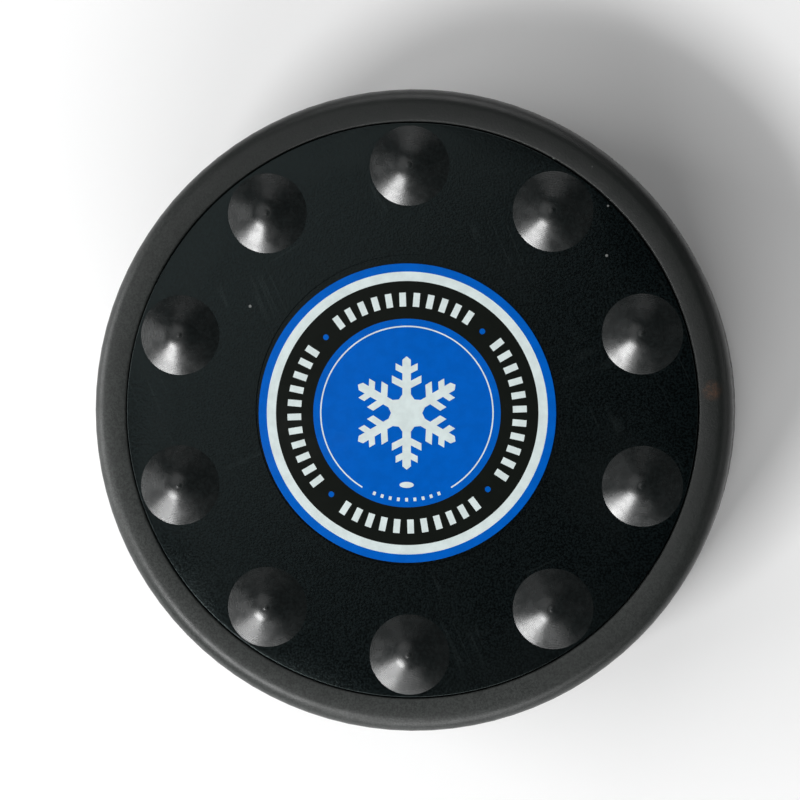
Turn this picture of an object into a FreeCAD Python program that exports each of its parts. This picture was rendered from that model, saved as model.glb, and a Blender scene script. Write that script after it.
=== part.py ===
"""Off-ice training puck: two hard face plates screwed together around a steel weight, inside a rubber rim.

Units are millimetres. The puck stands on the studs of its lower plate: the origin is on the puck's axis at
the height of those studs' tips, and +Z goes up through the upper label. Each sub-part is modelled about the
puck's own middle plane and is then placed, so that the two face plates share one function.
"""

import FreeCAD, Part
import math
import os
import Sketcher
from FreeCAD import Placement, Rotation, Vector

# ---------------------------------------------------------------------------------------------------------
# Driving dimensions
# ---------------------------------------------------------------------------------------------------------

DIMENSIONS = {
    # whole puck
    "overall_thickness": 25.4,
    "rim_radius": 38.1,
    # rubber rim
    "rim_edge_round": 1.8,
    "rim_bore_radius": 34.1,
    "rim_bore_chamfer": 0.1,
    "rim_running_clearance": 0.06,
    "rib_end_clearance": 0.1,
    # face plates
    "plate_radius": 33.95,
    "plate_edge_chamfer": 0.1,
    "plate_thickness": 3.2,
    "flange_thickness": 4.0,
    "wall_radius": 29.0,
    "cavity_radius": 26.6,
    "tongue_radius": 27.75,
    "tongue_depth": 1.5,
    "groove_clearance": 0.1,
    # studs that the puck slides on
    "stud_count": 10,
    "stud_circle_radius": 28.9,
    "stud_radius": 4.75,
    "stud_height": 1.3,
    "stud_tip_radius": 5.8,
    "stud_tip_flat": 0.6,
    # labels and their recesses
    "recess_radius": 18.4,
    "recess_depth": 0.25,
    "label_radius": 17.7,
    "label_thickness": 0.2,
    "label_offset": 0.35,
    # screw bosses
    "screw_count": 4,
    "screw_circle_radius": 13.0,
    "screw_angle": 45,
    "boss_radius": 4.2,
    "pilot_radius": 1.3,
    "pilot_depth": 7.7,
    "shank_hole_radius": 1.7,
    "head_hole_radius": 3.1,
    "head_hole_depth": 2.6,
    # screws
    "screw_head_radius": 2.8,
    "screw_head_height": 2.1,
    "screw_head_round": 0.7,
    "screw_length": 16.0,
    "thread_radius": 1.5,
    "thread_root_radius": 1.1,
    "thread_pitch": 1.25,
    "screw_point_length": 1.6,
    "drive_width": 0.9,
    "drive_span": 3.2,
    "drive_depth": 1.3,
    # steel weight and the foam pads that hold it
    "weight_radius": 26.2,
    "weight_thickness": 5.0,
    "weight_chamfer": 0.4,
    "boss_hole_radius": 4.6,
}

# Heights above the puck's middle plane, as expressions on the sheet.
FACE_HEIGHT = "(dims.overall_thickness / 2 - dims.stud_height)"
RECESS_HEIGHT = f"({FACE_HEIGHT} - dims.recess_depth)"
CEILING_HEIGHT = f"({FACE_HEIGHT} - dims.plate_thickness)"
FLANGE_HEIGHT = f"({FACE_HEIGHT} - dims.flange_thickness)"
HEAD_SEAT_HEIGHT = f"({RECESS_HEIGHT} - dims.head_hole_depth)"

MADE = []


def make_document():
    """The document and its sheet of driving dimensions."""
    doc = FreeCAD.newDocument("training_puck")
    sheet = doc.addObject("Spreadsheet::Sheet", "dims")
    for row, (alias, size) in enumerate(DIMENSIONS.items(), start=1):
        sheet.set(f"A{row}", alias)
        sheet.set(f"B{row}", str(size))
        sheet.setAlias(f"B{row}", alias)
    doc.recompute()
    return doc


def number(doc, expression):
    """The present value of an expression on the sheet."""
    return float(doc.dims.evalExpression(expression))


# ---------------------------------------------------------------------------------------------------------
# Helpers for bodies, sketches and features
# ---------------------------------------------------------------------------------------------------------


def new_body(doc, label):
    body = doc.addObject("PartDesign::Body", label)
    body.Label = label
    MADE.append(body)
    return body


def origin_part(body, role):
    """One of the body's own origin planes or axes, such as XY_Plane or Z_Axis."""
    return next(f for f in body.Origin.OriginFeatures if f.Role == role)


def new_sketch(body, name, plane, height=None):
    """A sketch on one of the body's own origin planes, raised along its normal by an expression."""
    sketch = body.newObject("Sketcher::SketchObject", name)
    sketch.AttachmentSupport = [(origin_part(body, plane), "")]
    sketch.MapMode = "FlatFace"
    if height:
        sketch.setExpression(".AttachmentOffset.Base.z", height)
    return sketch


def bind(sketch, constraint, expression):
    """Adds a dimension to the sketch and ties it to the sheet."""
    index = sketch.addConstraint(constraint)
    sketch.setExpression(f"Constraints[{index}]", expression)


def place_point(sketch, geometry, point, x, y):
    """Ties both coordinates of a sketch point to expressions."""
    doc = sketch.Document
    bind(sketch, Sketcher.Constraint("DistanceX", geometry, point, number(doc, x)), x)
    bind(sketch, Sketcher.Constraint("DistanceY", geometry, point, number(doc, y)), y)


def outline(sketch, corners):
    """A closed outline of straight sides. Each corner is a pair of expressions."""
    doc = sketch.Document
    points = [Vector(number(doc, x), number(doc, y), 0) for x, y in corners]
    ends = points[1:] + points[:1]
    sides = [Part.LineSegment(start, end) for start, end in zip(points, ends)]
    first = sketch.addGeometry(sides, False)[0]
    for i, (x, y) in enumerate(corners):
        before = first + (i - 1) % len(corners)
        sketch.addConstraint(Sketcher.Constraint("Coincident", before, 2, first + i, 1))
        place_point(sketch, first + i, 1, x, y)


def circle(sketch, x, y, radius):
    """A circle whose centre and radius are expressions."""
    doc = sketch.Document
    centre = Vector(number(doc, x), number(doc, y), 0)
    index = sketch.addGeometry(Part.Circle(centre, Vector(0, 0, 1), number(doc, radius)), False)
    place_point(sketch, index, 3, x, y)
    bind(sketch, Sketcher.Constraint("Radius", index, number(doc, radius)), radius)


def revolve(body, name, sketch, axis="V_Axis"):
    feature = body.newObject("PartDesign::Revolution", name)
    feature.Profile = sketch
    feature.ReferenceAxis = (sketch, [axis])
    feature.Angle = 360
    body.Document.recompute()
    return feature


def pad(body, name, sketch, length):
    feature = body.newObject("PartDesign::Pad", name)
    feature.Profile = sketch
    feature.setExpression("Length", length)
    body.Document.recompute()
    return feature


def pocket(body, name, sketch, depth, upwards):
    """A pocket cut along the sketch's normal when upwards is true, and against it otherwise."""
    volume = body.Shape.Volume
    feature = body.newObject("PartDesign::Pocket", name)
    feature.Profile = sketch
    feature.setExpression("Length", depth)
    feature.Reversed = upwards
    body.Document.recompute()
    if body.Shape.Volume >= volume:
        raise RuntimeError(f"{body.Label}: {name} removes nothing")
    return feature


def polar_pattern(body, feature, count):
    """Repeats a feature round the body's Z axis. The count is an expression."""
    pattern = body.newObject("PartDesign::PolarPattern", f"{feature.Name}_pattern")
    pattern.Originals = [feature]
    pattern.Axis = (origin_part(body, "Z_Axis"), [""])
    pattern.Angle = 360
    pattern.setExpression("Occurrences", count)
    body.Tip = pattern
    body.Document.recompute()
    return pattern


def round_edges(body, radius, heights):
    """The names of the body's edges that are circles of that radius about Z at one of those heights."""
    found = []
    for index, edge in enumerate(body.Shape.Edges, start=1):
        curve = edge.Curve
        if not isinstance(curve, Part.Circle) or abs(curve.Radius - radius) > 1e-4:
            continue
        centre = curve.Center - body.Placement.Base
        if math.hypot(centre.x, centre.y) < 1e-4 and any(abs(centre.z - h) < 1e-4 for h in heights):
            found.append(f"Edge{index}")
    if not found:
        raise RuntimeError(f"{body.Label}: no edge of radius {radius}")
    return found


def dress(body, kind, name, size, radius, heights):
    """A fillet or a chamfer on circular edges. Radius and heights are expressions that find the edges."""
    doc = body.Document
    base, volume = body.Tip, body.Shape.Volume
    edges = round_edges(body, number(doc, radius), [number(doc, h) for h in heights])
    feature = body.newObject(f"PartDesign::{kind}", name)
    feature.Base = (base, edges)
    feature.setExpression("Radius" if kind == "Fillet" else "Size", size)
    doc.recompute()
    if body.Shape.Volume >= volume:
        raise RuntimeError(f"{body.Label}: {name} removes nothing")
    return feature


def centre_height(doc):
    return number(doc, "dims.overall_thickness / 2")


def place(body, upside_down=False, x=0.0, y=0.0):
    """Puts a body that was drawn about the middle plane into the puck, turned over about X if asked."""
    turn = Rotation(Vector(1, 0, 0), 180 if upside_down else 0)
    body.Placement = Placement(Vector(x, y, centre_height(body.Document)), turn)


# ---------------------------------------------------------------------------------------------------------
# Sub-parts
# ---------------------------------------------------------------------------------------------------------


def make_rim(doc):
    """The rubber rim: an outer band with an inner rib that the two face plates trap between them."""
    body = new_body(doc, "rim_ring")
    rib_radius = "dims.wall_radius + dims.rim_running_clearance"
    rib_height = f"({FLANGE_HEIGHT} - dims.rib_end_clearance)"
    sketch = new_sketch(body, "rim_section", "XZ_Plane")
    outline(
        sketch,
        [
            ("dims.rim_bore_radius", FACE_HEIGHT),
            ("dims.rim_radius", FACE_HEIGHT),
            ("dims.rim_radius", f"-{FACE_HEIGHT}"),
            ("dims.rim_bore_radius", f"-{FACE_HEIGHT}"),
            ("dims.rim_bore_radius", f"-{rib_height}"),
            (rib_radius, f"-{rib_height}"),
            (rib_radius, rib_height),
            ("dims.rim_bore_radius", rib_height),
        ],
    )
    revolve(body, "rim_turned", sketch)
    faces = [FACE_HEIGHT, f"-{FACE_HEIGHT}"]
    dress(body, "Fillet", "rim_outer_round", "dims.rim_edge_round", "dims.rim_radius", faces)
    dress(body, "Chamfer", "rim_bore_edge", "dims.rim_bore_chamfer", "dims.rim_bore_radius", faces)
    place(body)


def plate_section(tongue):
    """The turned section of a face plate: face, label recess, flange and wall, with a tongue or its groove."""
    if tongue:
        step = "dims.tongue_radius"
        end = "-dims.tongue_depth"
    else:
        step = "dims.tongue_radius + dims.groove_clearance"
        end = "dims.tongue_depth + dims.groove_clearance"
    return [
        ("0", RECESS_HEIGHT),
        ("dims.recess_radius", RECESS_HEIGHT),
        ("dims.recess_radius", FACE_HEIGHT),
        ("dims.plate_radius", FACE_HEIGHT),
        ("dims.plate_radius", FLANGE_HEIGHT),
        ("dims.wall_radius", FLANGE_HEIGHT),
        ("dims.wall_radius", "0"),
        (step, "0"),
        (step, end),
        ("dims.cavity_radius", end),
        ("dims.cavity_radius", CEILING_HEIGHT),
        ("0", CEILING_HEIGHT),
    ]


def stud_section(sketch):
    """Half a stud: a cone with a rounded tip and a small flat, drawn beside its own axis, which is Axis0."""
    doc = sketch.Document
    axis_x = number(doc, "dims.stud_circle_radius")
    base = number(doc, "dims.stud_radius")
    bottom = number(doc, CEILING_HEIGHT)
    face = number(doc, FACE_HEIGHT)
    top = face + number(doc, "dims.stud_height")
    tip = number(doc, "dims.stud_tip_radius")
    flat = number(doc, "dims.stud_tip_flat")
    centre_z = top - math.sqrt(tip**2 - flat**2)
    reach = math.hypot(base, face - centre_z)
    bearing = math.atan2(face - centre_z, base) + math.acos(tip / reach)
    touch = Vector(axis_x + tip * math.cos(bearing), centre_z + tip * math.sin(bearing), 0)
    blunt = math.acos(flat / tip)
    corner = Vector(axis_x + flat, top, 0)
    foot = Vector(axis_x + base, face, 0)
    arc = Part.ArcOfCircle(Part.Circle(Vector(axis_x, centre_z, 0), Vector(0, 0, 1), tip), bearing, blunt)
    sketch.addGeometry(Part.LineSegment(Vector(axis_x, bottom, 0), Vector(axis_x, top, 0)), True)
    sketch.addGeometry(
        [
            Part.LineSegment(Vector(axis_x, bottom, 0), Vector(axis_x + base, bottom, 0)),
            Part.LineSegment(Vector(axis_x + base, bottom, 0), foot),
            Part.LineSegment(foot, touch),
            arc,
            Part.LineSegment(corner, Vector(axis_x, top, 0)),
            Part.LineSegment(Vector(axis_x, top, 0), Vector(axis_x, bottom, 0)),
        ],
        False,
    )
    axis, floor, side, flank, crown, tip_line, spine = range(7)
    for constraint in (
        ("Coincident", floor, 2, side, 1),
        ("Coincident", side, 2, flank, 1),
        ("Tangent", flank, 2, crown, 1),
        ("Coincident", crown, 2, tip_line, 1),
        ("Coincident", tip_line, 2, spine, 1),
        ("Coincident", spine, 2, floor, 1),
        ("PointOnObject", crown, 3, axis),
        ("Horizontal", tip_line),
    ):
        sketch.addConstraint(Sketcher.Constraint(*constraint))
    place_point(sketch, axis, 1, "dims.stud_circle_radius", CEILING_HEIGHT)
    place_point(sketch, axis, 2, "dims.stud_circle_radius", "dims.overall_thickness / 2")
    place_point(sketch, floor, 1, "dims.stud_circle_radius", CEILING_HEIGHT)
    place_point(sketch, side, 1, "dims.stud_circle_radius + dims.stud_radius", CEILING_HEIGHT)
    place_point(sketch, flank, 1, "dims.stud_circle_radius + dims.stud_radius", FACE_HEIGHT)
    place_point(sketch, spine, 1, "dims.stud_circle_radius", "dims.overall_thickness / 2")
    bind(sketch, Sketcher.Constraint("Radius", crown, tip), "dims.stud_tip_radius")
    flat_end = "dims.stud_circle_radius + dims.stud_tip_flat"
    bind(sketch, Sketcher.Constraint("DistanceX", crown, 2, axis_x + flat), flat_end)


def add_at_screws(body, name, radius, length, height=None, cut=False, upwards=False):
    """A round boss or hole at each screw. Radius, length and the height of its sketch are expressions."""
    sketch = new_sketch(body, f"{name}_sketch", "XY_Plane", height)
    x = "dims.screw_circle_radius * cos(dims.screw_angle)"
    y = "dims.screw_circle_radius * sin(dims.screw_angle)"
    circle(sketch, x, y, radius)
    if cut:
        feature = pocket(body, name, sketch, length, upwards)
    else:
        feature = pad(body, name, sketch, length)
    polar_pattern(body, feature, "dims.screw_count")


def make_face_plate(doc, label, tongue):
    """A hard face plate with its ring of studs, its wall, and the bosses that take the screws.

    The plate with the tongue has blind pilot holes. The other has clearance holes and seats for the heads.
    """
    body = new_body(doc, label)
    section = new_sketch(body, f"{label}_section", "XZ_Plane")
    outline(section, plate_section(tongue))
    revolve(body, f"{label}_turned", section)

    edge = "dims.plate_edge_chamfer"
    dress(body, "Chamfer", f"{label}_edge", edge, "dims.plate_radius", [FACE_HEIGHT])

    stud_sketch = new_sketch(body, f"{label}_stud_section", "YZ_Plane")
    stud_section(stud_sketch)
    stud = revolve(body, f"{label}_stud", stud_sketch, "Axis0")
    polar_pattern(body, stud, "dims.stud_count")

    into_face = f"{CEILING_HEIGHT} + dims.plate_thickness / 2"
    add_at_screws(body, f"{label}_boss", "dims.boss_radius", into_face)
    if tongue:
        add_at_screws(body, f"{label}_pilot", "dims.pilot_radius", "dims.pilot_depth", cut=True, upwards=True)
    else:
        through = "dims.overall_thickness"
        seat = "dims.head_hole_depth"
        add_at_screws(body, f"{label}_shank", "dims.shank_hole_radius", through, cut=True, upwards=True)
        add_at_screws(body, f"{label}_seat", "dims.head_hole_radius", seat, height=RECESS_HEIGHT, cut=True)
    place(body, upside_down=not tongue)


def make_label(doc, label, upside_down, offset):
    """A printed vinyl disc on the floor of a plate's recess, stuck down a little off centre if offset says so."""
    body = new_body(doc, label)
    sketch = new_sketch(body, f"{label}_disc", "XY_Plane", RECESS_HEIGHT)
    circle(sketch, "0", "0", "dims.label_radius")
    pad(body, f"{label}_pad", sketch, "dims.label_thickness")
    place(body, upside_down, x=-offset, y=-offset)


def pierced_disc(doc, label, thickness, height):
    """A disc that fills the cavity and clears the screw bosses. Thickness and base height are expressions."""
    body = new_body(doc, label)
    sketch = new_sketch(body, f"{label}_disc", "XY_Plane", height)
    circle(sketch, "0", "0", "dims.weight_radius")
    pad(body, f"{label}_pad", sketch, thickness)
    add_at_screws(body, f"{label}_hole", "dims.boss_hole_radius", thickness, height=height, cut=True, upwards=True)
    return body


def make_weight(doc):
    """The steel disc that brings the puck up to playing weight."""
    half = "dims.weight_thickness / 2"
    body = pierced_disc(doc, "weight_disc", "dims.weight_thickness", f"-{half}")
    size = "dims.weight_chamfer"
    dress(body, "Chamfer", "weight_edges", size, "dims.weight_radius", [half, f"-{half}"])
    place(body)


def make_foam_pad(doc, label, upside_down):
    """A foam disc that fills the space between the weight and one face plate."""
    half = "dims.weight_thickness / 2"
    body = pierced_disc(doc, label, f"{CEILING_HEIGHT} - {half}", half)
    place(body, upside_down)


def screw_section(doc):
    """The turned section of a screw along its own axis, with the head's seat at zero and the head above it."""
    corners = [
        ("0", "dims.screw_head_height"),
        ("dims.screw_head_radius", "dims.screw_head_height"),
        ("dims.screw_head_radius", "0"),
        ("dims.thread_root_radius", "0"),
    ]
    thread_length = number(doc, "dims.screw_length - dims.screw_point_length")
    turns = int(thread_length // number(doc, "dims.thread_pitch"))
    for turn in range(1, turns):
        root = f"-dims.thread_pitch * {turn}"
        crest = f"-dims.thread_pitch * {turn + 0.25}"
        runout = f"-dims.thread_pitch * {turn + 0.5}"
        corners += [
            ("dims.thread_root_radius", root),
            ("dims.thread_radius", crest),
            ("dims.thread_root_radius", runout),
        ]
    corners += [
        ("dims.thread_root_radius", "-dims.screw_length + dims.screw_point_length"),
        ("0", "-dims.screw_length"),
    ]
    return corners


def make_screw(doc, label, turn):
    """A self-tapping pan-head screw with a cross drive. Its thread is drawn as rings, one to each pitch."""
    body = new_body(doc, label)
    section = new_sketch(body, f"{label}_section", "XZ_Plane")
    outline(section, screw_section(doc))
    revolve(body, f"{label}_turned", section)
    head = ["dims.screw_head_height"]
    dress(body, "Fillet", f"{label}_head_round", "dims.screw_head_round", "dims.screw_head_radius", head)

    long_side = "dims.drive_span / 2"
    short_side = "dims.drive_width / 2"
    for slot, (x, y) in enumerate([(long_side, short_side), (short_side, long_side)], start=1):
        sketch = new_sketch(body, f"{label}_drive_{slot}", "XY_Plane", "dims.screw_head_height")
        outline(sketch, [(x, y), (f"-{x}", y), (f"-{x}", f"-{y}"), (x, f"-{y}")])
        pocket(body, f"{label}_slot_{slot}", sketch, "dims.drive_depth", upwards=False)

    angle = math.radians(number(doc, "dims.screw_angle") + turn)
    radius = number(doc, "dims.screw_circle_radius")
    seat = centre_height(doc) - number(doc, HEAD_SEAT_HEIGHT)
    spot = Vector(radius * math.cos(angle), radius * math.sin(angle), seat)
    body.Placement = Placement(spot, Rotation(Vector(1, 0, 0), 180))


# ---------------------------------------------------------------------------------------------------------
# Checking and export
# ---------------------------------------------------------------------------------------------------------


def check(doc):
    """Stops if any object failed to recompute or any sub-part is not one valid solid."""
    for item in doc.Objects:
        if {"Invalid", "Error"} & set(item.State):
            raise RuntimeError(f"{item.Label} failed: {item.State}")
    for body in MADE:
        shape = body.Shape
        if shape.isNull() or not shape.isValid() or len(shape.Solids) != 1:
            raise RuntimeError(f"{body.Label} is not one valid solid")


def export():
    os.makedirs("parts", exist_ok=True)
    for body in MADE:
        body.Shape.exportStep(os.path.join("parts", f"{body.Label}.step"))
        box = body.Shape.BoundBox
        size = f"{box.XLength:.2f} x {box.YLength:.2f} x {box.ZLength:.2f}"
        print(f"{body.Label}: {size} mm, {body.Shape.Volume:.0f} mm3, from z {box.ZMin:.2f} to {box.ZMax:.2f}")


def main():
    doc = make_document()
    make_rim(doc)
    make_face_plate(doc, "upper_face_plate", tongue=True)
    make_face_plate(doc, "lower_face_plate", tongue=False)
    make_label(doc, "upper_label", upside_down=False, offset=number(doc, "dims.label_offset"))
    make_label(doc, "lower_label", upside_down=True, offset=0.0)
    make_weight(doc)
    make_foam_pad(doc, "upper_foam_pad", upside_down=False)
    make_foam_pad(doc, "lower_foam_pad", upside_down=True)
    count = int(number(doc, "dims.screw_count"))
    for i in range(count):
        make_screw(doc, f"screw_{i + 1}", turn=i * 360 / count)
    doc.recompute()
    check(doc)
    export()


main()
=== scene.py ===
"""Off-ice training puck: the surfaces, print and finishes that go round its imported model.

Everything is in metres in the puck's own frame: it stands on the studs of its lower plate at z = 0, and
+Z goes up through the upper label. Sizes along the axis are written from the puck's middle plane, so that
the two face plates, which are alike, share one set of numbers.
"""

import math

import bmesh
import bpy
from mathutils import Matrix, Vector


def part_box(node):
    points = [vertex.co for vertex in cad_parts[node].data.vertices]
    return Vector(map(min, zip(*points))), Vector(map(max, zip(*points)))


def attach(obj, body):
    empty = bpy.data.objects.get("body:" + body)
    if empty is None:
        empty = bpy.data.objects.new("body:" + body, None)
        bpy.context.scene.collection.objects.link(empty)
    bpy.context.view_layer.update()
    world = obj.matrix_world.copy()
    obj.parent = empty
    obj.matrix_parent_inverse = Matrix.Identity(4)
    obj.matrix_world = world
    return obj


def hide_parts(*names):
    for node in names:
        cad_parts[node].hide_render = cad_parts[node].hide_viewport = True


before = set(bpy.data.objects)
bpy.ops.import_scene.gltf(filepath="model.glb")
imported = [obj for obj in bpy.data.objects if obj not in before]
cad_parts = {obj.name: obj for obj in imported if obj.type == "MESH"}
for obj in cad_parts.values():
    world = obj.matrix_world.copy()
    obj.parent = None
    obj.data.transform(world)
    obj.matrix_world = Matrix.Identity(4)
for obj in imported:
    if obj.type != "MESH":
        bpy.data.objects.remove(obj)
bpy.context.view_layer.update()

bl_info = {
    "name": "Training puck",
    "version": (1, 0, 0),
    "blender": (4, 5, 0),
    "location": "3D View > Sidebar > Puck",
    "description": "Builds the looks of an off-ice training puck round its packed model",
    "category": "Object",
}

MM = 0.001
RIM_LOW, RIM_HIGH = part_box("rim_ring")
PLATE_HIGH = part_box("upper_face_plate")[1]
LABEL_LOW, LABEL_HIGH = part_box("upper_label")
MIDDLE = (RIM_LOW.z + RIM_HIGH.z) / 2
FACE = RIM_HIGH.z - MIDDLE
STUD_TOP = PLATE_HIGH.z - MIDDLE
LABEL_TOP = LABEL_HIGH.z - MIDDLE
LABEL_CENTRE = (LABEL_LOW + LABEL_HIGH) / 2
LABEL_RADIUS = (LABEL_HIGH.x - LABEL_LOW.x) / 2
UPSIDE_DOWN = Matrix.Rotation(math.pi, 4, "X")

# Points nearer than SAME count as in one place, and points nearer than MERGE are joined
SAME = 1e-6
MERGE = 1e-7

# Sides of the loops that stand for circles
PLATE_SIDES = 288
LABEL_SIDES = 192
DISC_SIDES = 160
PAD_SIDES = 128
STUD_SIDES = 72
BOSS_SIDES = 48
HOLE_SIDES = 32
DOT_SIDES = 24


def length(name, default, description):
    return bpy.props.FloatProperty(
        name=name, default=default, description=description, unit="LENGTH", precision=5
    )


def count(name, default, description):
    return bpy.props.IntProperty(name=name, default=default, min=1, description=description)


def colour(name, default, description):
    return bpy.props.FloatVectorProperty(
        name=name, default=default, description=description, subtype="COLOR", size=3, min=0, max=1
    )


# --------------------------------------------------------------------------------------------------
# Settings
# --------------------------------------------------------------------------------------------------


class RimSettings(bpy.types.PropertyGroup):
    bore: length("Bore radius", 34.1 * MM, "Radius of the opening that a face plate sits in")
    rib_radius: length("Rib radius", 29.06 * MM, "Inner radius of the rib between the plates")
    rib_height: length("Rib height", 7.3 * MM, "Height of the rib's faces from the middle plane")
    edge_round: length("Edge round", 1.8 * MM, "Radius of the round on the outer edges")
    bore_round: length("Bore edge round", 0.3 * MM, "Radius of the round on the edges next to the plates")
    knurl_columns: count("Knurl columns", 96, "Diamonds round the side in one row")
    knurl_rows: count("Knurl rows", 6, "Rows of diamonds on the side")
    knurl_height: length("Knurl height", 8.2 * MM, "Height of the band's edge from the middle plane")
    knurl_depth: length("Knurl depth", 0.28 * MM, "Depth of the grooves between the diamonds")
    knurl_slope: length("Knurl slope", 0.3 * MM, "Width of a diamond's sloping side")


class PlateSettings(bpy.types.PropertyGroup):
    radius: length("Radius", PLATE_HIGH.x, "Radius of the plate")
    edge: length("Edge round", 0.1 * MM, "Round of the plate's outer edge")
    flange: length("Flange", 4.0 * MM, "Thickness of the plate where it covers the rib")
    ceiling: length("Ceiling height", 8.2 * MM, "Height of the plate's inner face from the middle plane")
    wall: length("Wall radius", 29.0 * MM, "Outer radius of the wall that the rim turns on")
    cavity: length("Cavity radius", 26.6 * MM, "Radius of the space for the weight")
    tongue: length("Tongue radius", 27.75 * MM, "Outer radius of the tongue that centres the two plates")
    tongue_depth: length("Tongue depth", 1.5 * MM, "How far the tongue goes past the middle plane")
    recess: length("Recess radius", 18.4 * MM, "Radius of the label's recess")
    recess_depth: length("Recess depth", 0.25 * MM, "Depth of the label's recess")
    stud_count: count("Studs", 10, "Studs on one plate")
    stud_circle: length("Stud circle", 28.9 * MM, "Radius of the circle that the studs stand on")
    stud_radius: length("Stud radius", 4.75 * MM, "Radius of a stud's base")
    stud_blend: length("Stud tip radius", 5.8 * MM, "Radius of the rounding at a stud's tip")
    stud_flat: length("Stud flat", 0.55 * MM, "Radius of the flat at a stud's tip")
    stud_nub: length("Stud nub", 0.04 * MM, "Height of the small nub on that flat")
    boss_circle: length("Boss circle", 13.0 * MM, "Radius of the circle that the screws stand on")
    boss: length("Boss radius", 4.2 * MM, "Outer radius of a screw boss")
    pilot: length("Pilot radius", 1.3 * MM, "Radius of the blind holes in the upper plate")
    pilot_depth: length("Pilot depth", 7.7 * MM, "Depth of the blind holes")
    shank: length("Shank radius", 1.7 * MM, "Radius of the clearance holes in the lower plate")
    seat: length("Seat radius", 3.1 * MM, "Radius of the seats for the screw heads")
    seat_depth: length("Seat depth", 2.6 * MM, "Depth of the seats from the recess floor")


class LabelSettings(bpy.types.PropertyGroup):
    border: length("Border radius", 16.72 * MM, "Inner radius of the blue border")
    white_ring: length("White ring radius", 15.62 * MM, "Inner radius of the white ring")
    disc: length("Disc radius", 11.15 * MM, "Radius of the blue disc")
    line: length("Line radius", 10.25 * MM, "Radius of the fine circle in the disc")
    line_width: length("Line width", 0.16 * MM, "Width of the fine circle")
    bars_radius: length("Bar circle", 13.42 * MM, "Radius of the circle of white bars")
    bar_length: length("Bar length", 1.65 * MM, "Length of a bar, measured outwards")
    bar_width: length("Bar width", 0.78 * MM, "Width of a bar, measured round the ring")
    bars: count("Bars", 11, "Bars in each of the four groups")
    dot: length("Dot radius", 0.34 * MM, "Radius of the dots between the groups of bars")
    crystal: length("Crystal radius", 6.7 * MM, "Length of one arm of the ice crystal")


class FillingSettings(bpy.types.PropertyGroup):
    pad_radius: length("Pad radius", 26.1 * MM, "Radius of a foam pad")
    pad_hole: length("Pad hole radius", 4.6 * MM, "Radius of the holes for the screw bosses")
    pad_base: length("Pad base", 2.5 * MM, "Height of a pad's inner face from the middle plane")
    pad_top: length("Pad top", 8.2 * MM, "Height of a pad's outer face from the middle plane")
    pad_bulge: length("Pad bulge", 0.35 * MM, "How far the squeezed foam swells at its edge")


class FinishSettings(bpy.types.PropertyGroup):
    rubber: colour("Rim rubber", (0.0045, 0.0058, 0.0053), "Rubber of the rim")
    # This colour also paints the light on the rim's lit -X -Y side, laid on with the dust
    rubber_dust_and_light: colour("Rubber dust", (0.037, 0.041, 0.039), "Dust and scuffs on the rim")
    rust: colour("Rust stain", (0.085, 0.038, 0.018), "Small brown stain on the rim")
    plate: colour("Plate", (0.0012, 0.0021, 0.0023), "Hard plastic of the face plates")
    plate_haze: colour("Plate haze", (0.004, 0.0053, 0.0053), "Handling haze on the plates")
    blue: colour("Blue print", (0.0001, 0.093, 0.45), "Blue of the label")
    white: colour("White print", (0.6, 0.68, 0.675), "White of the label")
    black: colour("Black print", (0.006, 0.0075, 0.0062), "Black of the label")
    foam: colour("Foam", (0.055, 0.057, 0.06), "Foam of the pads")
    steel: colour("Steel", (0.52, 0.52, 0.53), "Steel of the weight")
    zinc: colour("Zinc", (0.66, 0.68, 0.71), "Zinc plating of the screws")


class StageSettings(bpy.types.PropertyGroup):
    camera_distance: length("Camera distance", 0.38, "Distance from the camera to the upper face")
    camera_tilt: bpy.props.FloatProperty(
        name="Camera tilt",
        default=math.radians(6.5),
        description="Lean of the view from the vertical",
        subtype="ANGLE",
    )
    view_width: length("View width", 94.6 * MM, "Width of the view at the upper face")
    aim: bpy.props.FloatVectorProperty(
        name="Aim",
        default=(-1.13 * MM, 1.19 * MM, RIM_HIGH.z),
        description="Point at the view's centre",
        unit="LENGTH",
    )
    key_power: bpy.props.FloatProperty(
        name="Key light", default=3.0, description="Power of the key light", unit="POWER"
    )
    floor: colour("Floor", (0.95, 0.95, 0.95), "Colour of the floor")


# --------------------------------------------------------------------------------------------------
# Mesh tools
# --------------------------------------------------------------------------------------------------


def only_verts(geometry):
    return [g for g in geometry if isinstance(g, bmesh.types.BMVert)]


def loop_of(geometry):
    """The edges whose two ends are both among the vertices of some new geometry."""
    verts = dict.fromkeys(only_verts(geometry))
    touching = dict.fromkeys(e for v in verts for e in v.link_edges)
    return [e for e in touching if e.verts[0] in verts and e.verts[1] in verts]


def ring(bm, radius, height, segments, centre=(0, 0)):
    """A round loop of edges."""
    spot = Matrix.Translation((centre[0], centre[1], height))
    made = bmesh.ops.create_circle(bm, cap_ends=False, segments=segments, radius=radius, matrix=spot)
    return loop_of(made["verts"])


def sweep(bm, edges, radius, height, steps, centre=(0, 0)):
    """Carries a round loop through further radii and heights, and gives every loop it passes."""
    loops = [edges]
    for next_radius, next_height in steps:
        made = bmesh.ops.extrude_edge_only(bm, edges=loops[-1])
        verts = only_verts(made["geom"])
        about = Matrix.Translation((-centre[0], -centre[1], 0))
        factor = next_radius / radius
        bmesh.ops.scale(bm, vec=(factor, factor, 1), space=about, verts=verts)
        bmesh.ops.translate(bm, vec=(0, 0, next_height - height), verts=verts)
        loops.append(loop_of(verts))
        radius, height = next_radius, next_height
    return loops


def fill(bm, *loops, material=0):
    """Closes the flat area inside the first loop and round the others."""
    edges = [e for loop in loops for e in loop]
    made = bmesh.ops.triangle_fill(
        bm, use_beauty=True, use_dissolve=False, edges=edges, normal=(0, 0, 1)
    )
    for face in made["geom"]:
        if isinstance(face, bmesh.types.BMFace):
            face.material_index = material


def keep_sharp(edges):
    for edge in edges:
        edge.smooth = False


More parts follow.
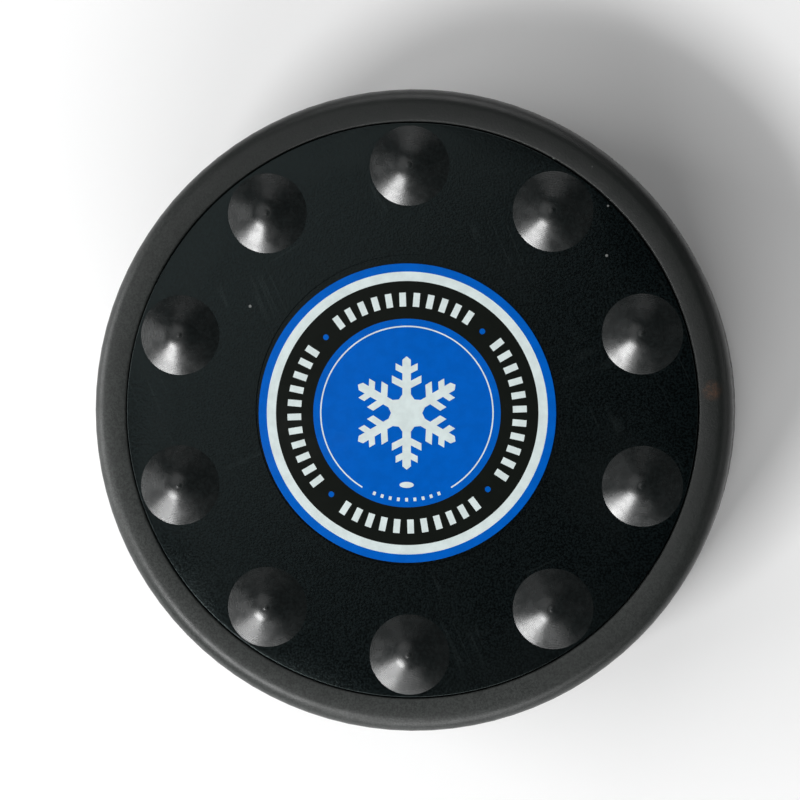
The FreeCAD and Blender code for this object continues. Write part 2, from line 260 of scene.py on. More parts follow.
def to_object(bm, name, materials, matrix, angle=35):
    """Turns a closed bmesh into an object at the origin, smooth but for edges above the angle."""
    bmesh.ops.remove_doubles(bm, verts=bm.verts, dist=MERGE)
    bmesh.ops.recalc_face_normals(bm, faces=bm.faces)
    bmesh.ops.transform(bm, matrix=matrix, verts=bm.verts)
    if any(len(e.link_faces) != 2 for e in bm.edges):
        raise RuntimeError(f"{name} has an edge that doesn't join two faces")
    for face in bm.faces:
        face.smooth = True
    keep_sharp(e for e in bm.edges if e.calc_face_angle() > math.radians(angle))
    mesh = bpy.data.meshes.new(name)
    bm.to_mesh(mesh)
    bm.free()
    for material in materials:
        mesh.materials.append(material)
    obj = bpy.data.objects.new(name, mesh)
    bpy.context.scene.collection.objects.link(obj)
    return obj


def stand_for(obj, body, node):
    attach(obj, body)
    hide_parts(node)


def half(upper):
    """The transform that takes a piece drawn about the middle plane to the upper or the lower half."""
    lift = Matrix.Translation((0, 0, MIDDLE))
    return lift if upper else lift @ UPSIDE_DOWN


def polar(radius, degrees):
    return radius * math.cos(math.radians(degrees)), radius * math.sin(math.radians(degrees))


def screw_spots(circle):
    """The centres of the four screws, each midway between the X and Y axes."""
    return [polar(circle, 45 + 90 * i) for i in range(4)]


# --------------------------------------------------------------------------------------------------
# Material tools
# --------------------------------------------------------------------------------------------------


class Nodes:
    """A material's node tree, with one method for each kind of node that the finishes use."""

    def __init__(self, name):
        self.material = bpy.data.materials.get(name) or bpy.data.materials.new(name)
        self.material.use_nodes = True
        self.tree = self.material.node_tree
        self.tree.nodes.clear()
        self.shader = self.add("ShaderNodeBsdfPrincipled")
        output = self.add("ShaderNodeOutputMaterial")
        self.link(self.shader.outputs["BSDF"], output.inputs["Surface"])
        self.where = self.add("ShaderNodeTexCoord").outputs["Object"]

    def add(self, kind, **settings):
        node = self.tree.nodes.new(kind)
        for key, value in settings.items():
            setattr(node, key, value)
        return node

    def link(self, source, target):
        self.tree.links.new(source, target)

    def feed(self, target, value):
        if isinstance(value, bpy.types.NodeSocket):
            self.link(value, target)
        else:
            target.default_value = value

    def noise(self, scale, detail=3.0, roughness=0.55, vector=None):
        """Cloudy noise, of a scale in waves to the metre."""
        node = self.add("ShaderNodeTexNoise")
        self.link(vector or self.where, node.inputs["Vector"])
        node.inputs["Scale"].default_value = scale
        node.inputs["Detail"].default_value = detail
        node.inputs["Roughness"].default_value = roughness
        return node.outputs["Fac"]

    def cells(self, scale):
        """Scattered cells, of a scale in cells to the metre."""
        node = self.add("ShaderNodeTexVoronoi")
        self.link(self.where, node.inputs["Vector"])
        node.inputs["Scale"].default_value = scale
        return node

    def maths(self, operation, first, second=0.0):
        node = self.add("ShaderNodeMath", operation=operation)
        self.feed(node.inputs[0], first)
        self.feed(node.inputs[1], second)
        return node.outputs[0]

    def measure(self, operation, first, second=(0, 0, 0)):
        """A number worked out from one or two vectors."""
        node = self.add("ShaderNodeVectorMath", operation=operation)
        self.feed(node.inputs[0], first)
        self.feed(node.inputs[1], second)
        return node.outputs["Value"]

    def range(self, value, low, high, to_low=0.0, to_high=1.0):
        """Carries the values between low and high over to another span, eased at both ends."""
        node = self.add("ShaderNodeMapRange", interpolation_type="SMOOTHSTEP")
        self.feed(node.inputs["Value"], value)
        node.inputs["From Min"].default_value = low
        node.inputs["From Max"].default_value = high
        node.inputs["To Min"].default_value = to_low
        node.inputs["To Max"].default_value = to_high
        return node.outputs["Result"]

    def mix(self, amount, first, second):
        """Goes from the first colour to the second as the amount goes from zero to one."""
        node = self.add("ShaderNodeMix", data_type="RGBA")
        self.feed(node.inputs["Factor"], amount)
        colour_a, colour_b = (socket for socket in node.inputs if socket.type == "RGBA")
        for target, value in ((colour_a, first), (colour_b, second)):
            self.feed(target, value if isinstance(value, bpy.types.NodeSocket) else (*value, 1))
        return next(socket for socket in node.outputs if socket.type == "RGBA")

    def bump(self, height, distance, strength=1.0, under=None):
        node = self.add("ShaderNodeBump")
        self.link(height, node.inputs["Height"])
        node.inputs["Distance"].default_value = distance
        node.inputs["Strength"].default_value = strength
        if under:
            self.link(under, node.inputs["Normal"])
        return node.outputs["Normal"]

    def near(self, spot, inner, outer):
        """One within a distance of a spot, falling to nothing at a greater one."""
        return self.range(self.measure("DISTANCE", self.where, spot), inner, outer, 1.0, 0.0)

    def specks(self, scale, size, share):
        """Small scattered specks in a share of the cells: one inside a speck, nothing outside."""
        cell = self.cells(scale)
        dot = self.range(cell.outputs["Distance"], size * 0.6, size, 1.0, 0.0)
        chosen = self.maths("LESS_THAN", self.channel(cell.outputs["Color"]), share)
        return self.maths("MULTIPLY", dot, chosen)

    def scratches(self, degrees, scale, patch):
        """Fine marks that run one way, broken up into patches: one along a mark, nothing beside it."""
        stretch = 24
        turned = self.add("ShaderNodeMapping", vector_type="TEXTURE")
        self.link(self.where, turned.inputs["Vector"])
        turned.inputs["Rotation"].default_value = (0, 0, math.radians(degrees))
        turned.inputs["Scale"].default_value = (1, stretch, 1)
        across = self.maths("SUBTRACT", self.noise(scale, 1.5, vector=turned.outputs["Vector"]), 0.5)
        line = self.range(self.maths("ABSOLUTE", across), 0.002, 0.016, 1.0, 0.0)
        return self.maths("MULTIPLY", line, self.range(self.noise(patch, 2), 0.55, 0.68))

    def channel(self, colour_socket):
        node = self.add("ShaderNodeSeparateColor")
        self.link(colour_socket, node.inputs["Color"])
        return node.outputs["Red"]

    def set(self, **values):
        for key, value in values.items():
            self.feed(self.shader.inputs[key.replace("_", " ")], value)
        return self.material


def rubber_finish():
    """Black rubber, lighter towards its -X -Y side with dust and with painted light where the key lamp
    falls, with pale flecks and one small brown stain.
    """
    finish = bpy.context.scene.puck_finish
    lit_dusty_side = (-0.6, -0.8, 0)
    stain_spot = (35.6 * MM, 2.3 * MM, RIM_HIGH.z)
    n = Nodes("rim rubber")
    broad = n.noise(55, 4)
    patchy = n.noise(420, 5, 0.65)
    # Painted light: this mask rises towards -X -Y, the side the key lamp lights, so that side is drawn
    # lighter as well as dustier
    aside = n.measure("DOT_PRODUCT", n.where, lit_dusty_side)
    worn_and_lit = n.range(n.maths("ADD", aside, n.maths("MULTIPLY", broad, 0.03)), -0.02, 0.05, 0.04, 0.75)
    dust_and_painted_light = n.maths("MULTIPLY", worn_and_lit, n.range(patchy, 0.2, 0.6, 0.5, 1.0))
    grit = n.noise(4300, 3, 0.7)
    flecks = n.specks(420, 0.07, 0.16)
    body = n.mix(n.range(patchy, 0.3, 0.75), finish.rubber, [c * 1.25 for c in finish.rubber])
    # Lays on the dust together with the painted light of the lit -X -Y side
    body = n.mix(n.maths("MULTIPLY", dust_and_painted_light, n.range(grit, 0.36, 0.62, 0.35, 1.25)), body, finish.rubber_dust_and_light)
    body = n.mix(n.maths("MULTIPLY", flecks, 0.7), body, [c * 4 for c in finish.rubber_dust_and_light])
    spot = n.near(stain_spot, 0.1 * MM, 1.5 * MM)
    stain = n.maths("MULTIPLY", spot, n.range(n.noise(1900, 4, 0.7), 0.38, 0.66, 0.1, 0.7))
    body = n.mix(stain, body, finish.rust)
    rough = n.range(patchy, 0.2, 0.8, 0.43, 0.34)
    grain = n.bump(grit, 0.00003, 0.7)
    pitted = n.bump(n.noise(900, 4, 0.6), 0.00002, 0.25, grain)
    return n.set(Base_Color=body, Roughness=rough, Normal=pitted, Specular_IOR_Level=0.45)


def plate_finish():
    """Glossy black plastic with a fine grain, cloudy haze, a few white specks and fine scratches."""
    finish = bpy.context.scene.puck_finish
    speck = (0.16, 0.165, 0.16)
    cool_gloss = (0.79, 0.97, 0.97, 1)
    n = Nodes("plate plastic")
    grain = n.noise(4200, 3, 0.6)
    clouds = n.noise(38, 5, 0.62)
    haze = n.range(clouds, 0.45, 0.72)
    dark, light = [c * 0.4 for c in finish.plate], [c * 2.2 for c in finish.plate]
    body = n.mix(n.range(grain, 0.42, 0.58), dark, light)
    body = n.mix(n.maths("MULTIPLY", haze, 0.6), body, finish.plate_haze)
    body = n.mix(n.specks(260, 0.055, 0.12), body, speck)
    marks = n.maths("MAXIMUM", n.scratches(25, 330, 120), n.scratches(-62, 280, 95))
    body = n.mix(n.maths("MULTIPLY", marks, 0.3), body, [c * 3.5 for c in finish.plate_haze])
    rough = n.maths("ADD", n.range(clouds, 0.3, 0.7, 0.17, 0.2), n.range(grain, 0.35, 0.65, -0.02, 0.04))
    normal = n.bump(grain, 0.00002, 0.8)
    n.set(Base_Color=body, Roughness=rough, Normal=normal)
    return n.set(Specular_IOR_Level=0.3, Specular_Tint=cool_gloss)


def stud_finish():
    """The plate's plastic where it has slid on the floor, with fine marks round each stud's axis."""
    finish = bpy.context.scene.puck_finish
    ripple = 150.0  # radians from a stud's axis to its foot
    n = Nodes("stud plastic")
    uv = n.add("ShaderNodeUVMap", uv_map="stud").outputs["UV"]
    from_axis = n.measure("LENGTH", uv)
    wobble = n.maths("MULTIPLY", n.noise(500, 2), 0.02)
    rings = n.maths("SINE", n.maths("MULTIPLY", n.maths("ADD", from_axis, wobble), ripple))
    fine = n.noise(2600, 3)
    body = n.mix(n.range(fine, 0.35, 0.7), finish.plate_haze, [c * 1.9 for c in finish.plate_haze])
    rough = n.range(n.noise(700, 4), 0.25, 0.75, 0.22, 0.3)
    normal = n.bump(rings, 0.000003, 0.3)
    normal = n.bump(fine, 0.000008, 0.35, normal)
    return n.set(Base_Color=body, Roughness=rough, Normal=normal, Specular_IOR_Level=0.7)


def print_finish(name, ink):
    """Slightly mottled ink under a thin clear film that has dulled in patches."""
    scuff = (0.5, 0.5, 0.5)
    n = Nodes(name)
    mottle = n.noise(700, 4, 0.6)
    wear = n.noise(60, 4, 0.6)
    thin, thick = [c * 0.93 for c in ink], [min(c * 1.05, 1) for c in ink]
    body = n.mix(n.range(mottle, 0.3, 0.7), thin, thick)
    body = n.mix(n.range(wear, 0.55, 0.8, 0.0, 0.02), body, scuff)
    roughness = n.range(wear, 0.3, 0.7, 0.19, 0.32)
    normal = n.bump(n.noise(1500, 3), 0.000005, 0.5)
    return n.set(Base_Color=body, Roughness=roughness, Normal=normal, Specular_IOR_Level=0.08)


def foam_finish():
    """Dark foam with open pores, each painted darker in its pit as painted shade."""
    finish = bpy.context.scene.puck_finish
    n = Nodes("pad foam")
    pores = n.cells(1500).outputs["Distance"]
    # Painted shade: each pore is coloured darker towards its middle, where its bump sinks into a pit
    body = n.mix(n.range(pores, 0.1, 0.6), finish.foam, [c * 1.8 for c in finish.foam])
    pitted = n.bump(pores, 0.0002, 0.8)
    return n.set(Base_Color=body, Roughness=0.95, Normal=pitted, Specular_IOR_Level=0.2)


def metal_finish(name, tint, rough, scale):
    """Bare metal with fine streaks, drawn out by the scale along each axis, and duller patches."""
    n = Nodes(name)
    stretch = n.add("ShaderNodeMapping")
    n.link(n.where, stretch.inputs["Vector"])
    stretch.inputs["Scale"].default_value = scale
    streaks = n.noise(900, 4, 0.6, stretch.outputs["Vector"])
    patches = n.noise(120, 4)
    body = n.mix(n.range(patches, 0.3, 0.75), tint, [c * 0.78 for c in tint])
    roughness = n.range(streaks, 0.3, 0.7, rough - 0.07, rough + 0.1)
    normal = n.bump(streaks, 0.00001, 0.4)
    return n.set(Base_Color=body, Roughness=roughness, Metallic=1.0, Normal=normal)


# --------------------------------------------------------------------------------------------------
# Pieces
# --------------------------------------------------------------------------------------------------


class PUCK_OT_rim(bpy.types.Operator):
    """Builds the rubber rim with its rounded edges and knurled side"""

    bl_idname = "puck.rim"
    bl_label = "Rubber rim"

    def execute(self, context):
        rim = context.scene.puck_rim
        outer = RIM_HIGH.x
        bm = bmesh.new()
        flat_beside_round = 0.2 * MM
        support = rim.edge_round + flat_beside_round
        rows = [rim.knurl_height * (2 * i / rim.knurl_rows - 1) for i in range(rim.knurl_rows + 1)]
        section = [
            (rim.bore, FACE),
            (outer - support, FACE),
            (outer, FACE),
            (outer, FACE - support),
            *[(outer, height) for height in reversed(rows)],
            (outer, support - FACE),
            (outer, -FACE),
            (outer - support, -FACE),
            (rim.bore, -FACE),
            (rim.bore, -rim.rib_height),
            (rim.rib_radius, -rim.rib_height),
            (rim.rib_radius, rim.rib_height),
            (rim.bore, rim.rib_height),
        ]
        corners = [bm.verts.new((radius, 0, height)) for radius, height in section]
        sides = [bm.edges.new(pair) for pair in zip(corners, corners[1:] + corners[:1])]
        bmesh.ops.spin(
            bm,
            geom=corners + sides,
            cent=(0, 0, 0),
            axis=(0, 0, 1),
            angle=math.tau,
            steps=rim.knurl_columns,
            use_merge=True,
        )
        bmesh.ops.remove_doubles(bm, verts=bm.verts, dist=MERGE)
        self.knurl(bm, rim, outer)
        self.round_edges(bm, outer, rim.edge_round, segments=10)
        self.round_edges(bm, rim.bore, rim.bore_round, segments=3)
        obj = to_object(bm, "rim", [rubber_finish()], half(True), angle=24)
        stand_for(obj, "rim", "rim_ring")
        return {"FINISHED"}

    def knurl(self, bm, rim, outer):
        """Cuts the band of crossing grooves that leaves raised diamonds."""

        def in_band(vert):
            return abs(vert.co.z) < rim.knurl_height + SAME and vert.co.xy.length > outer - SAME

        band = [f for f in bm.faces if all(in_band(v) for v in f.verts)]
        inner = [e for e in bm.edges if e.link_faces and all(f in band for f in e.link_faces)]
        made = bmesh.ops.poke(bm, faces=band)
        centres = set(made["verts"])
        bmesh.ops.dissolve_edges(bm, edges=inner, use_verts=False)
        diamonds = [f for f in bm.faces if sum(v in centres for v in f.verts) == 2]
        sunk = centres | {v for f in diamonds for v in f.verts if abs(v.co.z) < rim.knurl_height - SAME}
        for vert in sunk:
            vert.co.xy *= (outer - rim.knurl_depth) / vert.co.xy.length
        bmesh.ops.inset_individual(
            bm, faces=diamonds, thickness=rim.knurl_slope, depth=rim.knurl_depth, use_even_offset=True
        )
        for vert in bm.verts:
            if vert.co.xy.length > outer:
                vert.co.xy *= outer / vert.co.xy.length

    def round_edges(self, bm, radius, size, segments):
        """Rounds the two circular edges at that radius on the rim's faces."""

        def on_edge(vert):
            return abs(abs(vert.co.z) - FACE) < SAME and abs(vert.co.xy.length - radius) < SAME

        bmesh.ops.bevel(
            bm,
            geom=[e for e in bm.edges if all(on_edge(v) for v in e.verts)],
            offset=size,
            segments=segments,
            profile=0.5,
            affect="EDGES",
            material=-1,
            clamp_overlap=False,
        )


class PUCK_OT_face_plates(bpy.types.Operator):
    """Builds both hard face plates with their studs, walls and screw bosses"""

    bl_idname = "puck.face_plates"
    bl_label = "Face plates"
    STUD_FINISH = 1

    def execute(self, context):
        plate = context.scene.puck_plate
        finishes = [plate_finish(), stud_finish()]
        for upper, node in ((True, "upper_face_plate"), (False, "lower_face_plate")):
            bm = bmesh.new()
            face_holes = self.studs(bm, plate)
            self.body(bm, plate, upper, face_holes)
            obj = to_object(bm, node.replace("_face", ""), finishes, half(upper))
            stand_for(obj, "core", node)
        return {"FINISHED"}

    def stud_profile(self, plate):
        """Radius and height of each step up a stud: straight side, rounded tip, flat and nub."""
        side_steps, tip_steps = 5, 9
        flat_height = STUD_TOP - plate.stud_nub
        tip = plate.stud_blend
        middle = flat_height - math.sqrt(tip**2 - plate.stud_flat**2)
        reach = math.hypot(plate.stud_radius, FACE - middle)
        start = math.atan2(FACE - middle, plate.stud_radius) + math.acos(tip / reach)
        end = math.acos(plate.stud_flat / tip)
        foot = Vector((plate.stud_radius, FACE))
        touch = Vector((tip * math.cos(start), middle + tip * math.sin(start)))
        side = [tuple(foot.lerp(touch, i / side_steps)) for i in range(1, side_steps + 1)]
        angles = [start + (end - start) * i / tip_steps for i in range(1, tip_steps + 1)]
        rounded = [(tip * math.cos(angle), middle + tip * math.sin(angle)) for angle in angles]
        nub_foot, nub_shoulder, nub_top = 0.34 * MM, 0.22 * MM, 0.08 * MM
        shoulder = STUD_TOP - plate.stud_nub / 10
        nub = [(nub_foot, flat_height), (nub_shoulder, shoulder), (nub_top, STUD_TOP)]
        return side + rounded + nub

    def studs(self, bm, plate):
        """The ring of studs, low cones with a rounded tip. Gives the loops of their bases."""
        profile = self.stud_profile(plate)
        layer = bm.loops.layers.uv.new("stud")
        bases = []
        for i in range(plate.stud_count):
            centre = polar(plate.stud_circle, 90 + 360 * i / plate.stud_count)
            before = set(bm.faces)
            base = ring(bm, plate.stud_radius, FACE, STUD_SIDES, centre)
            loops = sweep(bm, base, plate.stud_radius, FACE, profile, centre)
            fill(bm, loops[-1])
            keep_sharp(base)
            for face in set(bm.faces) - before:
                face.material_index = self.STUD_FINISH
                for loop in face.loops:
                    offset = loop.vert.co.xy - Vector(centre)
                    loop[layer].uv = offset / plate.stud_radius
            bases.append(base)
        return bases

    def edge_round(self, radius, size, steps=4):
        """Points down the small round of the plate's outer edge."""
        for i in range(1, steps + 1):
            angle = math.radians(90 - 90 * i / steps)
            yield radius - size + size * math.cos(angle), FACE - size + size * math.sin(angle)

    def tongue(self, plate, upper):
        """The step where the plates meet: a tongue on the upper one, a slightly wider seat in the lower."""
        play = 0.1 * MM
        if upper:
            radius, end = plate.tongue, -plate.tongue_depth
        else:
            radius, end = plate.tongue + play, plate.tongue_depth + play
        return [(radius, 0), (radius, end), (plate.cavity, end)]

    def body(self, bm, plate, upper, face_holes):
        """The plate's turned body, flat faces and bosses."""
        floor = FACE - plate.recess_depth
        start = plate.radius - plate.edge
        turned = [
            *self.edge_round(plate.radius, plate.edge),
            (plate.radius, FACE - plate.flange),
            (plate.wall, FACE - plate.flange),
            (plate.wall, 0),
            *self.tongue(plate, upper),
            (plate.cavity, plate.ceiling),
        ]
        rim_loop = ring(bm, start, FACE, PLATE_SIDES)
        outside = sweep(bm, rim_loop, start, FACE, turned)
        recess_loop = ring(bm, plate.recess, FACE, LABEL_SIDES)
        recess = sweep(bm, recess_loop, plate.recess, FACE, [(plate.recess, floor)])
        fill(bm, rim_loop, recess_loop, *face_holes)

        bosses, seats = [], []
        for spot in screw_spots(plate.boss_circle):
            boss = ring(bm, plate.boss, plate.ceiling, BOSS_SIDES, spot)
            end = sweep(bm, boss, plate.boss, plate.ceiling, [(plate.boss, 0)], spot)[-1]
            hole = plate.pilot if upper else plate.shank
            mouth = ring(bm, hole, 0, HOLE_SIDES, spot)
            fill(bm, end, mouth)
            bosses.append(boss)
            if upper:
                fill(bm, sweep(bm, mouth, hole, 0, [(hole, plate.pilot_depth)], spot)[-1])
            else:
                seat = floor - plate.seat_depth
                steps = [(hole, seat), (plate.seat, seat), (plate.seat, floor)]
                seats.append(sweep(bm, mouth, hole, 0, steps, spot)[-1])
        fill(bm, outside[-1], *bosses)
        fill(bm, recess[-1], *seats)


class PUCK_OT_labels(bpy.types.Operator):
    """Builds the printed vinyl label of each face"""

    bl_idname = "puck.labels"
    bl_label = "Labels"

    def execute(self, context):
        label = context.scene.puck_label
        finish = context.scene.puck_finish
        inks = [
            print_finish("blue print", finish.blue),
            print_finish("white print", finish.white),
            print_finish("black print", finish.black),
        ]
        for upper, node in ((True, "upper_label"), (False, "lower_label")):
            bm = bmesh.new()
            self.artwork(bm, label)
            place = half(upper)
            if upper:
                place = place @ Matrix.Translation((LABEL_CENTRE.x, LABEL_CENTRE.y, 0))
            obj = to_object(bm, node.replace("_label", "_decal"), inks, place)
            stand_for(obj, "core", node)
        return {"FINISHED"}

    def artwork(self, bm, label):
        """The label's printed top, cut into areas of one ink each, and the edge and back of the vinyl."""
        blue, white, black = range(3)
        top = LABEL_TOP
        edge_round = 0.03 * MM
        start = LABEL_RADIUS - edge_round
        edge = ring(bm, start, top, LABEL_SIDES)
        inner = sweep(bm, edge, start, top, [(label.border, top)])
        white_loops = sweep(bm, inner[-1], label.border, top, [(label.white_ring, top)])
        for face in {f for e in white_loops[-1] for f in e.link_faces}:
            face.material_index = white
        side = [(LABEL_RADIUS, top - edge_round), (LABEL_RADIUS, LABEL_LOW.z - MIDDLE)]
        outside = sweep(bm, edge, start, top, side)
        fill(bm, outside[-1])

        marks = self.band_marks(bm, label, white, blue)
        disc = ring(bm, label.disc, top, DISC_SIDES)
        fill(bm, white_loops[-1], disc, *marks, material=black)

        details = [self.fine_circle(bm, label, white), self.crystal(bm, label, white)]
        details += self.lower_marks(bm, label, white)
        fill(bm, disc, *details, material=blue)

    def band_marks(self, bm, label, bar_ink, dot_ink):
        """Four groups of bars round the black band, and a dot in each gap between two groups."""
        groups, first_middle, span = 4, 92, 70
        dots_radius = label.bars_radius - 0.25 * MM
        marks = []
        for group in range(groups):
            middle = first_middle + 360 / groups * group
            for i in range(label.bars):
                angle = middle + span * (i / (label.bars - 1) - 0.5)
                marks.append(
                    self.bar(bm, label.bars_radius, angle, label.bar_length, label.bar_width, bar_ink)
                )
            between = polar(dots_radius, middle + 180 / groups)
            marks.append(self.spot(bm, between, label.dot, 1, dot_ink))
        return marks

    def lower_marks(self, bm, label, ink):
        """A row of small blocks in the fine circle's gap, and a flat oval above the row."""
        blocks, span = 9, 44
        block_length, block_width = 0.42 * MM, 0.34 * MM
        oval_centre, oval_radius, flatness = (0, -8.5 * MM), 0.85 * MM, 0.42
        marks = []
        for i in range(blocks):
            angle = 270 + span * (i / (blocks - 1) - 0.5)
            marks.append(self.bar(bm, label.line, angle, block_length, block_width, ink))
        marks.append(self.spot(bm, oval_centre, oval_radius, flatness, ink))
        return marks

    def bar(self, bm, radius, degrees, height, width, ink):
        """A small block that points away from the label's centre."""
        x, y = polar(radius, degrees)
        place = Matrix.Translation((x, y, LABEL_TOP)) @ Matrix.Rotation(math.radians(degrees), 4, "Z")
        made = bmesh.ops.create_grid(bm, x_segments=1, y_segments=1, size=0.5)
        bmesh.ops.scale(bm, vec=(height, width, 1), verts=made["verts"])
        bmesh.ops.transform(bm, matrix=place, verts=made["verts"])
        face = made["verts"][0].link_faces[0]
        face.material_index = ink
        return list(face.edges)

    def spot(self, bm, centre, radius, flatness, ink):
        """A dot, or a flat oval where the flatness is less than one."""
        place = Matrix.Translation((*centre, LABEL_TOP)) @ Matrix.Diagonal((1, flatness, 1, 1))
        made = bmesh.ops.create_circle(
            bm, cap_ends=True, segments=DOT_SIDES, radius=radius, matrix=place
        )
        face = made["verts"][0].link_faces[0]
        face.material_index = ink
        return list(face.edges)

    def fine_circle(self, bm, label, ink):
        """A fine circle that is open at the bottom."""
        opening, steps = 62, 150
        ends = [label.line - label.line_width / 2, label.line + label.line_width / 2]
        verts = [bm.verts.new((radius, 0, LABEL_TOP)) for radius in ends]
        start = Matrix.Rotation(math.radians(-90 + opening / 2), 3, "Z")
        bmesh.ops.rotate(bm, matrix=start, verts=verts)
        before = set(bm.faces)
        bmesh.ops.spin(
            bm,
            geom=verts + [bm.edges.new(verts)],
            cent=(0, 0, 0),
            axis=(0, 0, 1),
            angle=math.radians(360 - opening),
            steps=steps,
        )
        made = [f for f in bm.faces if f not in before]
        for face in made:
            face.material_index = ink
        return [e for f in made for e in f.edges if len(e.link_faces) == 1]

    def crystal(self, bm, label, ink):
        """An ice crystal of branched arms. Half an arm's outline, in parts of its length, is repeated."""
        arms = 6
        size = label.crystal
        before = set(bm.edges)
        half_arm = [
            (0.24, 0.1386),
            (0.33, 0.075),
            (0.44, 0.075),
            (0.535, 0.262),
            (0.665, 0.262),
            (0.57, 0.075),
            (0.7, 0.075),
            (0.76, 0.195),
            (0.88, 0.195),
            (0.82, 0.075),
            (0.94, 0.075),
            (1.0, 0.0),
        ]
        verts = [bm.verts.new((x * size, y * size, LABEL_TOP)) for x, y in half_arm]
        edges = [bm.edges.new(pair) for pair in zip(verts, verts[1:])]
        made = bmesh.ops.duplicate(bm, geom=verts + edges)
        bmesh.ops.scale(bm, vec=(1, -1, 1), verts=only_verts(made["geom"]))
        arm = verts + edges + made["geom"]
        for i in range(1, arms):
            copy = bmesh.ops.duplicate(bm, geom=arm)
            turn = Matrix.Rotation(math.tau * i / arms, 3, "Z")
            bmesh.ops.rotate(bm, cent=(0, 0, 0), matrix=turn, verts=only_verts(copy["geom"]))
        points = list(dict.fromkeys(v for e in bm.edges if e not in before for v in e.verts))
        upright = Matrix.Rotation(math.pi / arms, 3, "Z")
        bmesh.ops.rotate(bm, cent=(0, 0, 0), matrix=upright, verts=points)
        bmesh.ops.remove_doubles(bm, verts=points, dist=5 * SAME)
        outline = [e for e in bm.edges if e not in before]
        fill(bm, outline, material=ink)
        return outline


class PUCK_OT_filling(bpy.types.Operator):
    """Builds the foam pads and finishes the weight and the screws"""

    bl_idname = "puck.filling"
    bl_label = "Weight, pads and screws"

    def execute(self, context):
        filling = context.scene.puck_filling
        finish = context.scene.puck_finish
        foam = foam_finish()
        for upper, node in ((True, "upper_foam_pad"), (False, "lower_foam_pad")):
            bm = bmesh.new()
            self.pad(bm, filling, context.scene.puck_plate.boss_circle)
            obj = to_object(bm, node.replace("_foam", ""), [foam], half(upper), angle=60)
            stand_for(obj, "core", node)
        steel = metal_finish("weight steel", finish.steel, 0.34, (1, 12, 1))
        zinc = metal_finish("screw zinc", finish.zinc, 0.26, (1, 1, 3))
        for name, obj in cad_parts.items():
            if name == "weight_disc" or name.startswith("screw_"):
                obj.data.materials.clear()
                obj.data.materials.append(steel if name == "weight_disc" else zinc)
        return {"FINISHED"}

    def pad(self, bm, filling, hole_circle):
        """A foam disc whose edge swells between the faces that squeeze it, with a hole at each boss."""
        low, high, hole = filling.pad_base, filling.pad_top, filling.pad_hole
        inner = filling.pad_radius - filling.pad_bulge
        middle, rise = (low + high) / 2, (high - low) / 2
        edge_steps = 8
        angles = [math.pi * (i / edge_steps - 0.5) for i in range(1, edge_steps + 1)]
        swelling = [(inner + filling.pad_bulge * math.cos(a), middle + rise * math.sin(a)) for a in angles]
        base = ring(bm, inner, low, PAD_SIDES)
        top = sweep(bm, base, inner, low, swelling)[-1]
        bottoms, tops = [], []
        for spot in screw_spots(hole_circle):
            mouth = ring(bm, hole, low, BOSS_SIDES, spot)
            bottoms.append(mouth)
            tops.append(sweep(bm, mouth, hole, low, [(hole, high)], spot)[-1])
        fill(bm, base, *bottoms)
        fill(bm, top, *tops)


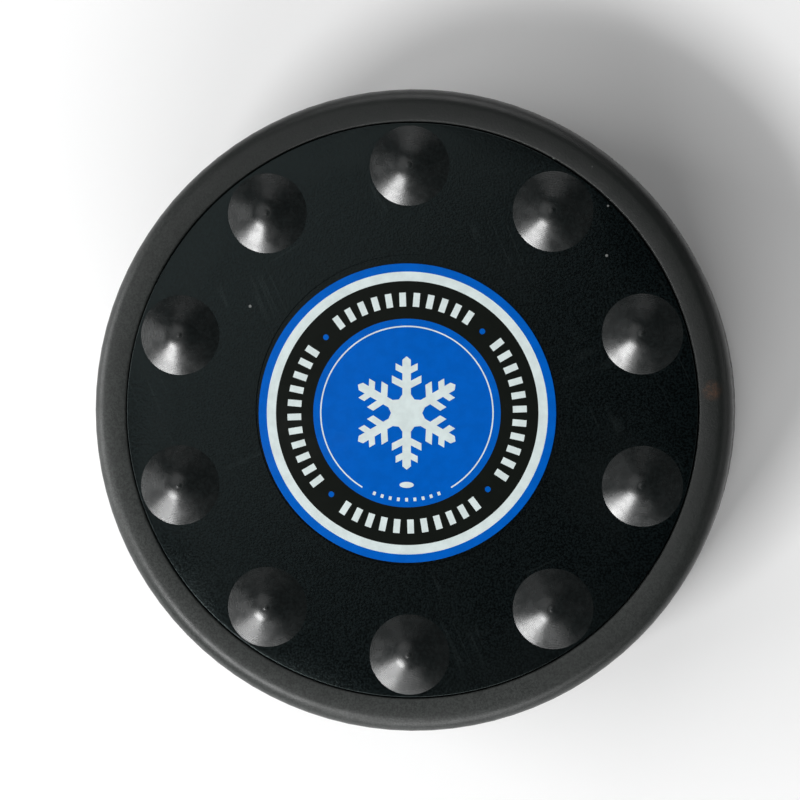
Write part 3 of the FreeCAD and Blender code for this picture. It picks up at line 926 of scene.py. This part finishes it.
class PUCK_OT_stage(bpy.types.Operator):
    """Sets up the floor, the lights and the camera"""

    bl_idname = "puck.stage"
    bl_label = "Stage"

    def execute(self, context):
        stage = context.scene.puck_stage
        self.floor(stage)
        self.lights(context, stage)
        self.camera(context, stage)
        context.scene.view_settings.view_transform = "Standard"
        return {"FINISHED"}

    def floor(self, stage):
        half_width = 3.0
        bm = bmesh.new()
        bmesh.ops.create_grid(bm, x_segments=8, y_segments=8, size=half_width)
        n = Nodes("pale floor")
        shade = n.mix(n.noise(6, 3), stage.floor, [c * 0.985 for c in stage.floor])
        n.set(Base_Color=shade, Roughness=0.85, Specular_IOR_Level=0.1)
        mesh = bpy.data.meshes.new("floor")
        bm.to_mesh(mesh)
        bm.free()
        mesh.materials.append(n.material)
        obj = bpy.data.objects.new("floor", mesh)
        bpy.context.scene.collection.objects.link(obj)

    def lights(self, context, stage):
        world = bpy.data.worlds.new("studio")
        world.use_nodes = True
        background = world.node_tree.nodes["Background"]
        background.inputs["Color"].default_value = (0.95, 0.98, 1.0, 1)
        background.inputs["Strength"].default_value = 0.02
        context.scene.world = world
        self.area(context, "key", (-312, -323, 572), 240, 160, stage.key_power)
        self.area(context, "upper left panel", (-169, 97, 524), 260, 260, 0.17)
        self.area(context, "left softbox", (-620, 0, 240), 500, 400, 2.9)
        self.area(context, "front softbox", (0, -620, 330), 500, 400, 2.8)
        self.area(context, "right softbox", (620, 0, 330), 500, 400, 0.4)
        self.area(context, "back softbox", (0, 620, 330), 500, 400, 1.3)

    def area(self, context, name, spot, width, depth, power):
        """A soft light that faces the puck. Its place and sides are in millimetres, its power in watts."""
        light = bpy.data.lights.new(name, "AREA")
        light.shape = "RECTANGLE"
        light.size, light.size_y = width * MM, depth * MM
        light.energy = power
        obj = bpy.data.objects.new(name, light)
        obj.location = Vector(spot) * MM
        aim = Vector((0, 0, RIM_HIGH.z)) - obj.location
        obj.rotation_euler = aim.to_track_quat("-Z", "Y").to_euler()
        context.scene.collection.objects.link(obj)

    def camera(self, context, stage):
        """A camera that looks down at the upper face and leans towards +X."""
        data = bpy.data.cameras.new("camera")
        data.lens = data.sensor_width * stage.camera_distance / stage.view_width
        obj = bpy.data.objects.new("camera", data)
        lean = Vector((math.sin(stage.camera_tilt), 0, math.cos(stage.camera_tilt)))
        obj.location = Vector(stage.aim) + lean * stage.camera_distance
        obj.rotation_euler = (0, stage.camera_tilt, 0)
        data.clip_start = 0.01
        context.scene.collection.objects.link(obj)
        context.scene.camera = obj


class PUCK_PT_builder(bpy.types.Panel):
    """The puck's operators and settings"""

    bl_idname = "PUCK_PT_builder"
    bl_label = "Training puck"
    bl_space_type = "VIEW_3D"
    bl_region_type = "UI"
    bl_category = "Puck"

    def draw(self, context):
        for operator, settings in STEPS:
            box = self.layout.box()
            box.operator(operator.bl_idname)
            group = getattr(context.scene, settings)
            for key in group.__annotations__:
                box.prop(group, key)
        box = self.layout.box()
        for key in context.scene.puck_finish.__annotations__:
            box.prop(context.scene.puck_finish, key)


STEPS = [
    (PUCK_OT_rim, "puck_rim"),
    (PUCK_OT_face_plates, "puck_plate"),
    (PUCK_OT_labels, "puck_label"),
    (PUCK_OT_filling, "puck_filling"),
    (PUCK_OT_stage, "puck_stage"),
]
GROUPS = {
    "puck_rim": RimSettings,
    "puck_plate": PlateSettings,
    "puck_label": LabelSettings,
    "puck_filling": FillingSettings,
    "puck_finish": FinishSettings,
    "puck_stage": StageSettings,
}


def register():
    for name, group in GROUPS.items():
        bpy.utils.register_class(group)
        setattr(bpy.types.Scene, name, bpy.props.PointerProperty(type=group))
    for operator, _ in STEPS:
        bpy.utils.register_class(operator)
    bpy.utils.register_class(PUCK_PT_builder)


def unregister():
    bpy.utils.unregister_class(PUCK_PT_builder)
    for operator, _ in reversed(STEPS):
        bpy.utils.unregister_class(operator)
    for name, group in reversed(GROUPS.items()):
        delattr(bpy.types.Scene, name)
        bpy.utils.unregister_class(group)


def main():
    register()
    bpy.ops.puck.rim()
    bpy.ops.puck.face_plates()
    bpy.ops.puck.labels()
    bpy.ops.puck.filling()
    bpy.ops.puck.stage()


if __name__ == "__main__":
    main()
